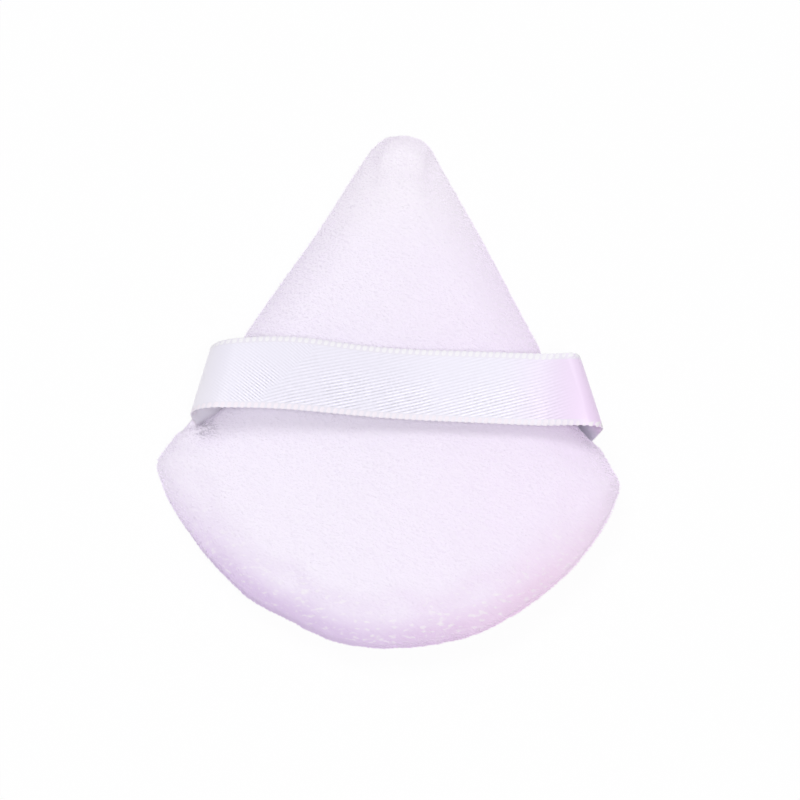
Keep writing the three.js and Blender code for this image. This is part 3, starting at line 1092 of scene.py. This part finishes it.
def pile_group():
    """Pointed tufts all over a skin, lying over with the nap."""
    group, tree, given = node_group(
        "velour_pile",
        Float=("Density", "Length", "Radius", "Loose", "Scatter", "Drift", "Drift scale"),
        Vector=("Nap",),
        Int=("Seed",),
        Material=("Material",),
    )
    values = {"Mesh": given["Geometry"], "Density": given["Density"], "Seed": given["Seed"]}
    spread = tree.add("GeometryNodeDistributePointsOnFaces", values, distribute_method="RANDOM")
    loose = given["Loose"] * stored(tree, "loose", "FLOAT")
    way = tuft_way(tree, given, spread["Normal"], loose)
    turn = tree.add("FunctionNodeAlignRotationToVector", {"Vector": way}, axis="Z")[0]
    tall = given["Length"] * chance(tree, SHORTEST, 1.0, given["Seed"]) * (1 + loose)
    thick = given["Radius"] * (1 + LOOSE_WIDTH * loose)
    size = tree.add("ShaderNodeCombineXYZ", {0: thick, 1: thick, 2: tall})[0]
    values = {"Vertices": 3, "Radius Top": 0.0, "Radius Bottom": 1.0, "Depth": 1.0}
    tuft = tree.add("GeometryNodeMeshCone", values, fill_type="NGON")["Mesh"]
    tuft = store(tree, tuft, "tuft_shape", "FLOAT_VECTOR", tree.add("GeometryNodeInputPosition")[0])
    points = store(tree, spread["Points"], "tuft_tone", "FLOAT", chance(tree, 0.0, 1.0, TONE_SEED))
    values = {"Points": points, "Instance": tuft, "Rotation": turn, "Scale": size}
    pile = tree.add("GeometryNodeInstanceOnPoints", values)[0]
    pile = tree.add("GeometryNodeRealizeInstances", {"Geometry": pile})[0]
    shape = stored(tree, "tuft_shape", "FLOAT_VECTOR")
    pile = store(tree, pile, "tuft_height", "FLOAT", tree.parts(shape)["Z"])
    spot = tree.vector("MULTIPLY", shape, (TUFT_SPOT, TUFT_SPOT, 0.0))
    spot = tree.vector("ADD", stored(tree, "disc", "FLOAT_VECTOR"), spot)
    pile = store(tree, pile, "OFBake", "FLOAT2", spot, "CORNER")
    pile = tree.add("GeometryNodeSetMaterial", {"Geometry": pile, "Material": given["Material"]})[0]
    tree.add("NodeGroupOutput", {"Geometry": pile})
    return group


class PUFF_OT_pile(Operator):
    """Plants the velour's pile on both covers"""

    bl_idname = "puff.pile"
    bl_label = "Pile"

    def execute(self, context):
        sizes = context.scene.puff_pile
        group = pile_group()
        values = {
            "Length": sizes.length,
            "Radius": sizes.radius,
            "Loose": sizes.loose,
            "Nap": (sizes.lean, -sizes.turn * sizes.lean, 0.0),
            "Scatter": sizes.scatter,
            "Drift": sizes.drift,
            "Drift scale": 1 / sizes.drift_length,
            "Seed": sizes.seed,
            "Material": velour_pile(context.scene.puff_colours),
        }
        for _, word, body in COVERS:
            skin = bpy.data.meshes[f"{word}_skin"]
            values["Density"] = sizes.fibres / sum(face.area for face in skin.polygons)
            pile = new_object(f"{word}_pile", grown(skin, group, values))
            fit(pile, body)
            if body == "face":
                press(pile, SEAM_Z)
        return {"FINISHED"}


class PUFF_OT_sponge(Operator):
    """Makes the foam core, with the groove that the seam allowances press into it"""

    bl_idname = "puff.sponge"
    bl_label = "Sponge"

    def execute(self, context):
        sizes = context.scene.puff_pad
        inset = SPONGE_LOW.z - FACE_LOW.z + sizes.core_play
        groove = (sizes.seam_allowance + inset, NEEDLE_HIGH.z - SEAM_Z + sizes.groove_play)
        places, faces = swept(PadPlan(sizes), pad_profile(sizes, inset, groove), 2 * sizes.voxel)
        places = nudged(places)
        foam = mesh_of("sponge_foam", places, faces)
        put_places(foam, pinched(places, normals_of(foam), sizes))
        foam.shade_smooth()
        foam.materials.append(sponge_finish(context.scene.puff_colours))
        core = new_object("sponge_foam", foam)
        fit(core, "pad", "sponge_core")
        press(core, SPONGE_HIGH.z - SPONGE_LOW.z)
        return {"FINISHED"}


# The machine threads: step along them, plies, waist and bulge of their section, and how far each stitch rises
# as a share of the thread's radius
THREAD_STEP = 0.4 * MM
PLIES = 3
PLY_WAIST = 0.82
PLY_BULGE = 0.18
STITCH_RISE = 0.6


def tube(places, radius, twist_length):
    """A closed tube of twisted plies along a row of points."""
    sides = 4 * PLIES
    ahead = unit(np.gradient(places, axis=0))
    across = unit(np.cross(ahead, (0.0, 0.0, 1.0)))
    upward = np.cross(across, ahead)
    angles = np.linspace(0, 2 * math.pi, sides, endpoint=False)
    turned = angles[None, :] + (2 * math.pi / twist_length) * run_along(places)[:, None]
    ply = radius * (PLY_WAIST + PLY_BULGE * np.cos(PLIES * angles))[None, :, None]
    ring = across[:, None] * np.cos(turned)[..., None] + upward[:, None] * np.sin(turned)[..., None]
    points = (places[:, None] + ply * ring).reshape(-1, 3)
    faces = [tuple(range(sides))[::-1], tuple(len(points) - sides + k for k in range(sides))]
    for here in range(0, len(points) - sides, sides):
        there = here + sides
        for k in range(sides):
            after = (k + 1) % sides
            faces.append((here + k, here + after, there + after, there + k))
    return points, faces


class PUFF_OT_threads(Operator):
    """Makes the two machine threads of the seam and finishes the hand stitches over the turning gap"""

    bl_idname = "puff.threads"
    bl_label = "Threads"

    def execute(self, context):
        sizes = context.scene.puff_pad
        plan = PadPlan(sizes)
        material = thread_finish(context.scene.puff_colours)
        points, normals = plan.right_half(THREAD_STEP, sizes.turning_gap / 2)
        row = plan.inward(points, normals, sizes.stitch_inset)
        route = np.concatenate([row[:0:-1], row * np.array([-1.0, 1.0])])
        dip = np.abs(np.sin(math.pi * run_along(route) / sizes.stitch_length)) ** 0.5
        rows = ((1, "needle_thread", NEEDLE_LOW, NEEDLE_HIGH), (-1, "bobbin_thread", BOBBIN_LOW, BOBBIN_HIGH))
        for side, name, low, high in rows:
            radius = (high.z - low.z) / 2
            rise = side * STITCH_RISE * radius
            row = nudged(np.column_stack([route, (high.z + low.z) / 2 - rise + rise * dip]))
            row[:, 0] -= np.sign(row[:, 0]) * pinch_at(row, sizes)
            thread = mesh_of(name, *tube(row, radius, sizes.ply_twist))
            thread.shade_smooth()
            thread.materials.append(material)
            piece = new_object(name, thread)
            fit(piece, "pad", "seam_" + name)
            if side < 0:
                press(piece, SEAM_Z)
        dress_node("closing_thread", material)
        return {"FINISHED"}


def dress_node(node, material):
    """Gives a node of the frame its finish."""
    mesh_object = frame["nodes"][node]
    if not mesh_object.material_slots:
        mesh_object.data.materials.append(None)
    for holder in mesh_object.material_slots:
        holder.link = "OBJECT"
        holder.material = material


# A leg's least and greatest lean from level, and the halvings that find it between them
FLATTEST = math.radians(12)
STEEPEST = math.radians(90)
LEAN_HALVINGS = 40


class RibbonLeg:
    """The ribbon's way up from the seam, seen along its width: out of the seam, round a small turn into a
    straight leg, and round the bend at the top. All values are rows with one number for each column."""

    def __init__(self, reach, height, root_bend, bend):
        self.height = height
        self.root_bend = root_bend
        self.bend = bend
        steep = np.full_like(reach, STEEPEST)
        flat = np.full_like(reach, FLATTEST)
        for _ in range(LEAN_HALVINGS):
            self.lean = (steep + flat) / 2
            too_far = self.outermost() > reach
            flat = np.where(too_far, self.lean, flat)
            steep = np.where(too_far, steep, self.lean)

    def leg(self):
        """Length of the straight leg."""
        turns = self.root_bend * (1 - np.cos(self.lean)) + self.bend * (1 + np.cos(self.lean))
        return (self.height - turns) / np.sin(self.lean)

    def outermost(self):
        straight = self.root_bend * np.sin(self.lean) + self.leg() * np.cos(self.lean)
        return straight + self.bend * (1 - np.sin(self.lean))

    def path(self, root_depth, step):
        """Rows of how far out and how far up the ribbon is, from inside the seam to the end of its bend."""
        leg = self.leg()
        out = [np.linspace(-root_depth, 0, 4)[:, None] + 0 * leg]
        up = [np.zeros_like(out[0])]
        start = np.linspace(0, 1, 5)[1:, None] * self.lean
        out.append(self.root_bend * np.sin(start))
        up.append(self.root_bend * (1 - np.cos(start)))
        climb = np.linspace(0, 1, 1 + round(float(leg.mean()) / step))[1:, None]
        out.append(out[1][-1] + climb * leg * np.cos(self.lean))
        up.append(up[1][-1] + climb * leg * np.sin(self.lean))
        rows = 1 + round(self.bend * math.pi / 2 / (step / 2))
        over = self.lean + np.linspace(0, 1, rows)[1:, None] * (math.pi - self.lean)
        out.append(out[2][-1] + self.bend * (np.sin(over) - np.sin(self.lean)))
        up.append(up[2][-1] + self.bend * (np.cos(self.lean) - np.cos(over)))
        return np.concatenate(out), np.concatenate(up)


# Along the span from its middle, in millimetres: middle and reach of its bow and of its rise, and where
# its dip starts to come and to go, with the length of each
BOW_PLACE, BOW_REACH = -16, 9
RISE_PLACE, RISE_REACH = -22, 7
DIP_START, DIP_RAMP = -16, 22
DIP_END, DIP_FALL = 22, 8


def span_wave(x, share, sizes):
    """How far the hanging ribbon moves towards the apex and upwards. x is in millimetres."""
    bowed = bell(x - BOW_PLACE, BOW_REACH) * (0.65 + 0.35 * share)
    risen = bell(x - RISE_PLACE, RISE_REACH)
    dipped = smooth_step((x - DIP_START) / DIP_RAMP) * (1 - smooth_step((x - DIP_END) / DIP_FALL))
    return sizes.span_bow * bowed, sizes.span_rise * risen - sizes.span_dip * dipped


class RibbonSide:
    """The middle surface of the ribbon on one side, from its end inside the seam to the middle of the span:
    a grid of places with their normals, their run along the ribbon and their place across it."""

    def __init__(self, plan, pad, sizes, hand):
        """hand is 1 for the right and -1 for the left."""
        side = "right" if hand > 0 else "left"
        base_reach, apex_reach, bend, shift = (
            getattr(sizes, f"{side}_{size}") for size in ("base_reach", "apex_reach", "bend", "root_shift")
        )
        share = np.linspace(-1, 1, max(8, round(RIBBON_WIDTH / sizes.grid)) + 1)
        self.across = share * RIBBON_WIDTH / 2
        y = RIBBON_Y + self.across
        edge = plan.side_edge(y)
        root = edge - pinch_at(np.column_stack([hand * edge, y, np.full_like(y, SEAM_Z)]), pad)
        fold = edge + base_reach + (apex_reach - base_reach) * (share + 1) / 2
        tilt = hand * sizes.twist * share
        leg = RibbonLeg(fold - root, SPAN_Z + tilt - SEAM_Z, sizes.root_bend, bend)
        out, up = leg.path(sizes.root_depth, sizes.grid)
        tail_start = sizes.tail_length / math.cos(plan.side_angle)
        self.tail_end = max(3, round((tail_start - sizes.root_depth) / sizes.grid))
        tail = np.linspace(-tail_start, -sizes.root_depth, self.tail_end + 1)[:-1, None] + 0 * root
        x = root + np.concatenate([tail, out])
        z = SEAM_Z + np.concatenate([0 * tail, up])
        self.loop_end = len(x) - 1
        span_rows = max(12, round(float(x[-1].mean()) / sizes.grid))
        inward = np.linspace(1, 0, span_rows + 1)[1:, None]
        x = np.concatenate([x, x[-1] * inward]) * hand
        z = np.concatenate([z, SPAN_Z + tilt * inward])
        below = 1 - smooth_step((z - SEAM_Z) / (SPAN_Z - SEAM_Z))
        to_apex, lift = span_wave(x / MM, share, sizes)
        y = y - shift * below + to_apex * (1 - below)
        self.grid = np.stack([x, y, z + lift * (1 - below)], axis=2)
        run = run_along(self.grid)
        self.run = (run[-1] - run) * hand
        self.normals = unit(np.cross(np.gradient(self.grid, axis=0), np.gradient(self.grid, axis=1)) * -hand)

    def ends(self, part):
        """The places on the ribbon's middle line where a part of its rows starts and ends, and its length."""
        middle = self.grid.shape[1] // 2
        line = self.grid[part][:, middle]
        run = self.run[part][:, middle]
        return tuple(line[0]), tuple(line[-1]), float(abs(run[0] - run[-1]))


# The ribbon's section: how much thinner its long edges are, and how close to them the thinning keeps
EDGE_THINNING = 0.7
EDGE_POWER = 12


def band(grid, normals, thickness):
    """A closed strip of cloth about a grid of places, thinner at its two long edges."""
    rows, columns = grid.shape[:2]
    across = np.linspace(-1, 1, columns)
    half = thickness / 2 * (1 - EDGE_THINNING * np.abs(across) ** EDGE_POWER)
    offset = normals * half[None, :, None]
    places = np.concatenate([(grid + offset).reshape(-1, 3), (grid - offset).reshape(-1, 3)])
    below = rows * columns
    faces = []
    for i in range(rows - 1):
        for k in range(columns - 1):
            a = i * columns + k
            b = a + columns
            faces.append((a, b, b + 1, a + 1))
            faces.append((below + a, below + a + 1, below + b + 1, below + b))
        for k, flip in ((0, 1), (columns - 1, -1)):
            a = i * columns + k
            b = a + columns
            faces.append((a, below + a, below + b, b)[::flip])
    for i, flip in ((0, 1), (rows - 1, -1)):
        for k in range(columns - 1):
            a = i * columns + k
            faces.append((a, a + 1, below + a + 1, below + a)[::flip])
    return places, faces


def selvedge_group(slant):
    """Weft loops set side by side along a line, lying across it."""
    group, tree, given = node_group("selvedge", Float=("Pitch",), Vector=("Loop",), Material=("Material",))
    line = tree.add("GeometryNodeMeshToCurve", {"Mesh": given["Geometry"]})[0]
    dots = tree.add("GeometryNodeResampleCurve", {"Curve": line, "Length": given["Pitch"]}, mode="LENGTH")[0]
    ahead = tree.add("GeometryNodeInputTangent")[0]
    axes = {0: stored(tree, "upward", "FLOAT_VECTOR"), 1: ahead}
    turn = tree.add("FunctionNodeAxesToRotation", axes, primary_axis="Z", secondary_axis="X")[0]
    bead = tree.add("GeometryNodeMeshUVSphere", {"Segments": 8, "Rings": 6, "Radius": 0.5})["Mesh"]
    bead = tree.add("GeometryNodeTransform", {"Geometry": bead, "Scale": given["Loop"]})[0]
    bead = tree.add("GeometryNodeTransform", {"Geometry": bead, "Rotation": (0.0, 0.0, slant)})[0]
    row = tree.add("GeometryNodeInstanceOnPoints", {"Points": dots, "Instance": bead, "Rotation": turn})[0]
    row = tree.add("GeometryNodeRealizeInstances", {"Geometry": row})[0]
    row = tree.add("GeometryNodeSetShadeSmooth", {"Geometry": row})[0]
    row = tree.add("GeometryNodeSetMaterial", {"Geometry": row, "Material": given["Material"]})[0]
    tree.add("NodeGroupOutput", {"Geometry": row})
    return group


def selvedge(grid, normals, sizes, group, material):
    """The weft loops along both edges of one stretch of ribbon."""
    share = sizes.selvedge_inset / np.linalg.norm(grid[0, -1] - grid[0, 0])
    lines = []
    ups = []
    edges = []
    for near, far in ((0, -1), (-1, 0)):
        line = grid[:, near] + (grid[:, far] - grid[:, near]) * share
        start = len(lines) * len(line)
        edges.extend((start + i, start + i + 1) for i in range(len(line) - 1))
        run = run_along(line)
        kept = np.linspace(sizes.loop_pitch / 2, run[-1] - sizes.loop_pitch / 2, len(line))
        lines.append(np.stack([np.interp(kept, run, line[:, k]) for k in range(3)], axis=1))
        ups.append(np.stack([np.interp(kept, run, normals[:, near, k]) for k in range(3)], axis=1))
    mesh = mesh_of("selvedge_line", np.concatenate(lines), [], edges)
    mark(mesh, "upward", np.concatenate(ups))
    loop = (sizes.loop_width, sizes.loop_length, sizes.loop_height)
    return grown(mesh, group, {"Pitch": sizes.loop_pitch, "Loop": loop, "Material": material})


SHARP_ANGLE = math.radians(50)


def ribbon_piece(name, ribbon, part, sizes, group, finishes):
    """One stretch of the ribbon's rows with its selvedges, as one object."""
    grid = ribbon.grid[part]
    normals = ribbon.normals[part]
    run = ribbon.run[part]
    satin, loop_satin = finishes
    cloth = mesh_of(name, *band(grid, normals, sizes.thickness))
    flat = np.stack([run, np.broadcast_to(ribbon.across, run.shape)], axis=2).reshape(-1, 2)
    flat = np.concatenate([flat, flat])
    weave = cloth.uv_layers.new(name="weave")
    corners = np.empty(len(cloth.loops), np.int32)
    cloth.loops.foreach_get("vertex_index", corners)
    weave.data.foreach_set("uv", flat[corners].astype(np.float32).ravel())
    cloth.materials.append(satin)
    joined = bmesh.new()
    joined.from_mesh(cloth)
    own = len(joined.faces)
    joined.from_mesh(selvedge(grid, normals, sizes, group, loop_satin))
    joined.faces.ensure_lookup_table()
    for face in joined.faces[own:]:
        face.material_index = 1
    for face in joined.faces:
        face.smooth = True
    joined.to_mesh(cloth)
    joined.free()
    cloth.materials.append(loop_satin)
    cloth.set_sharp_from_angle(angle=SHARP_ANGLE)
    piece = new_object(name, cloth)
    return piece


class PUFF_OT_ribbon(Operator):
    """Makes the satin finger ribbon: two loops that rise from the seam and two halves of the span"""

    bl_idname = "puff.ribbon"
    bl_label = "Ribbon"

    def execute(self, context):
        sizes = context.scene.puff_ribbon
        pad = context.scene.puff_pad
        colours = context.scene.puff_colours
        finishes = (satin_finish(colours, sizes), selvedge_finish(colours))
        group = selvedge_group(sizes.loop_slant)
        for hand, side in ((1, "right"), (-1, "left")):
            ribbon = RibbonSide(PadPlan(pad), pad, sizes, hand)
            tail_rows = slice(0, ribbon.tail_end + 1)
            loop_rows = slice(ribbon.tail_end, ribbon.loop_end + 1)
            span_rows = slice(ribbon.loop_end, None)
            tail, loop, span = (
                ribbon_piece(f"{side}_ribbon_{word}_satin", ribbon, part, sizes, group, finishes)
                for word, part in (("tail", tail_rows), ("loop", loop_rows), ("half_span", span_rows))
            )
            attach(tail, "pad")
            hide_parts(f"{side}_ribbon_tail")
            root, _, long = ribbon.ends(loop_rows)
            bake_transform(loop)
            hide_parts(f"{side}_ribbon_loop")
            top, far, long = ribbon.ends(span_rows)
            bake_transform(span)
            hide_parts("ribbon_span")
        return {"FINISHED"}


def aimed(place, target):
    """Turns -Z from a place to a target, with +Y as upright as can be."""
    return (Vector(target) - Vector(place)).to_track_quat("-Z", "Y")


def soft_lamp(name, place, target, width, power):
    lamp = bpy.data.lights.new(name, "AREA")
    lamp.shape = "DISK"
    lamp.size = width
    lamp.energy = power
    holder = new_object(name, lamp)
    holder.location = place
    holder.rotation_euler = aimed(place, target).to_euler()


class PUFF_OT_stage(Operator):
    """Sets the floor, the even light, the two soft lamps and the camera"""

    bl_idname = "puff.stage"
    bl_label = "Stage"

    def execute(self, context):
        scene = context.scene
        stage = scene.puff_stage
        middle = Vector((0, 0, SEAM_Z))
        self.floor(scene, stage)
        self.sky(scene, stage)
        soft_lamp("key_lamp", stage.key_place, middle, stage.key_width, stage.key)
        soft_lamp("fill_lamp", stage.fill_place, middle, stage.fill_width, stage.fill)
        self.camera(scene, stage, middle)
        scene.view_settings.view_transform = "Standard"
        return {"FINISHED"}

    def floor(self, scene, stage):
        """A pale floor that looks white to the camera and still takes the puff's shadow."""
        half = stage.floor_size / 2
        square = ((-half, -half), (half, -half), (half, half), (-half, half))
        corners = [(x, y, -stage.floor_drop) for x, y in square]
        floor = new_object("floor", mesh_of("floor", corners, [(0, 1, 2, 3)]))
        material = bpy.data.materials.new("pale_floor")
        tree = Tree(emptied(material))
        seen = tree.seen_by("Is Camera Ray", "Is Glossy Ray", "Is Transmission Ray")
        matt = tree.add("ShaderNodeBsdfDiffuse", {"Color": scene.puff_colours.floor})["BSDF"]
        white = tree.add("ShaderNodeEmission", {"Color": (1, 1, 1, 1), "Strength": 1.0})["Emission"]
        surface = tree.add("ShaderNodeMixShader", {0: seen * stage.floor_white, 1: matt, 2: white})[0]
        tree.add("ShaderNodeOutputMaterial", {"Surface": surface})
        floor.data.materials.append(material)

    def sky(self, scene, stage):
        """Even light all round, which looks white to the camera."""
        world = bpy.data.worlds.new("even_light")
        tree = Tree(emptied(world))
        seen = tree.seen_by("Is Camera Ray", "Is Transmission Ray")
        strength = stage.sky + (1.0 - stage.sky) * seen
        sky = tree.add("ShaderNodeBackground", {"Color": (1, 1, 1, 1), "Strength": strength})[0]
        tree.add("ShaderNodeOutputWorld", {"Surface": sky})
        scene.world = world

    def camera(self, scene, stage, middle):
        lens = bpy.data.cameras.new("photo_camera")
        lens.lens = stage.lens
        lens.sensor_width = 36.0
        lens.shift_x = stage.shift_x
        lens.shift_y = stage.shift_y
        lens.clip_start = 0.01
        lens.clip_end = 20.0
        holder = new_object("photo_camera", lens)
        away = Vector((0, -math.cos(stage.elevation), math.sin(stage.elevation)))
        place = middle + away * stage.distance
        turn = aimed(place, middle).to_matrix() @ Matrix.Rotation(stage.roll, 3, "Z")
        holder.matrix_world = Matrix.Translation(place) @ turn.to_4x4()
        scene.camera = holder


OPERATORS = (PUFF_OT_stage, PUFF_OT_covers, PUFF_OT_pile, PUFF_OT_sponge, PUFF_OT_threads, PUFF_OT_ribbon)
GROUPS = {
    "puff_pad": PuffPadSizes,
    "puff_pile": PuffPileSizes,
    "puff_ribbon": PuffRibbonSizes,
    "puff_colours": PuffColours,
    "puff_stage": PuffStage,
}


class PUFF_PT_panel(Panel):
    """Lists the puff's pieces and their sizes"""

    bl_label = "Powder puff"
    bl_idname = "PUFF_PT_panel"
    bl_space_type = "VIEW_3D"
    bl_region_type = "UI"
    bl_category = "Powder puff"

    def draw(self, context):
        for made in OPERATORS:
            self.layout.operator(made.bl_idname)
        for name, group in GROUPS.items():
            box = self.layout.box()
            box.label(text=group.__doc__)
            for prop in group.__annotations__:
                box.prop(getattr(context.scene, name), prop)


CLASSES = (*GROUPS.values(), *OPERATORS, PUFF_PT_panel)


def register():
    for made in CLASSES:
        bpy.utils.register_class(made)
    for name, group in GROUPS.items():
        setattr(bpy.types.Scene, name, PointerProperty(type=group))


def unregister():
    for name in GROUPS:
        delattr(bpy.types.Scene, name)
    for made in reversed(CLASSES):
        bpy.utils.unregister_class(made)


def main():
    register()
    bpy.ops.puff.stage()
    bpy.ops.puff.covers()
    bpy.ops.puff.pile()
    bpy.ops.puff.sponge()
    bpy.ops.puff.threads()
    bpy.ops.puff.ribbon()


if __name__ == "__main__":
    main()
